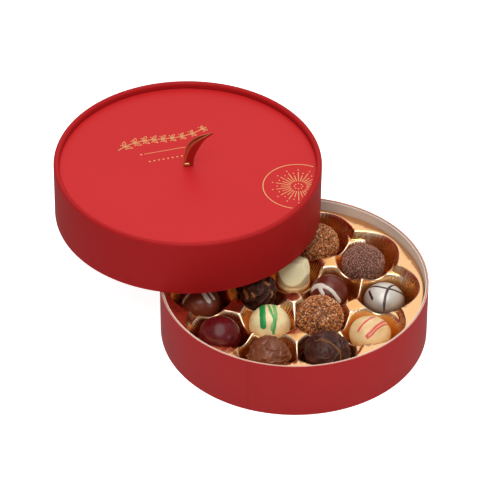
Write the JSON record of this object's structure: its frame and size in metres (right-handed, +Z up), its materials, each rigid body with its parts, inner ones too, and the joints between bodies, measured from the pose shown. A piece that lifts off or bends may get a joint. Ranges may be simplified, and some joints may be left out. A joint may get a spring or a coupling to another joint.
{
  "type": "box of chocolate pralines",
  "caption": "Round red gift box of assorted chocolate pralines in a gold tray, with its lid lying half across the rim.",
  "frame": {"origin": "middle of the base's underside, on the surface the box stands on", "axes": "+Z up; the lid lies towards -X and +Y, so the open side of the box faces +X and -Y"},
  "size_m": [0.2536, 0.2567, 0.1086],
  "materials": {
    "red_paper": "red soft-touch printed paper on card, satin",
    "cream_paper": "uncoated cream-grey paper lining, matt",
    "gold_film": "gold vacuum-formed film, glossy and mirror-like",
    "ribbon": "dark red satin ribbon with a gold edge",
    "milk_chocolate": "milk chocolate, satin",
    "dark_chocolate": "dark chocolate, satin with dull highlights",
    "white_chocolate": "cream-white chocolate, satin",
    "pearl_shell": "pearly silver-white lustre",
    "plum_glaze": "polished plum-red chocolate",
    "cocoa_flakes": "fine cocoa granules, matt",
    "chopped_nuts": "chopped roasted nuts in chocolate, rough"
  },
  "bodies": {
    "root": {"base_wall": "red_paper", "base_lining": "cream_paper", "base_bottom": "red_paper", "tray": "gold_film", "lid_wall": "red_paper", "lid_panel": "red_paper", "ribbon_loop": "ribbon", "praline_pearl": "pearl_shell", "praline_cocoa": "cocoa_flakes", "praline_nut_back": "chopped_nuts", "praline_milk_under_lid": "milk_chocolate", "praline_nut_under_lid": "chopped_nuts", "praline_zigzag": "milk_chocolate", "praline_plum": "plum_glaze", "praline_milk_wavy": "milk_chocolate", "praline_dark_truffle": "dark_chocolate", "praline_cream_red": "white_chocolate", "praline_dark_swoosh": "dark_chocolate", "praline_white_tent": "white_chocolate", "praline_ruffled_truffle": "dark_chocolate", "praline_cream_green": "white_chocolate", "praline_nut_front": "chopped_nuts"}
  },
  "joints": []
}
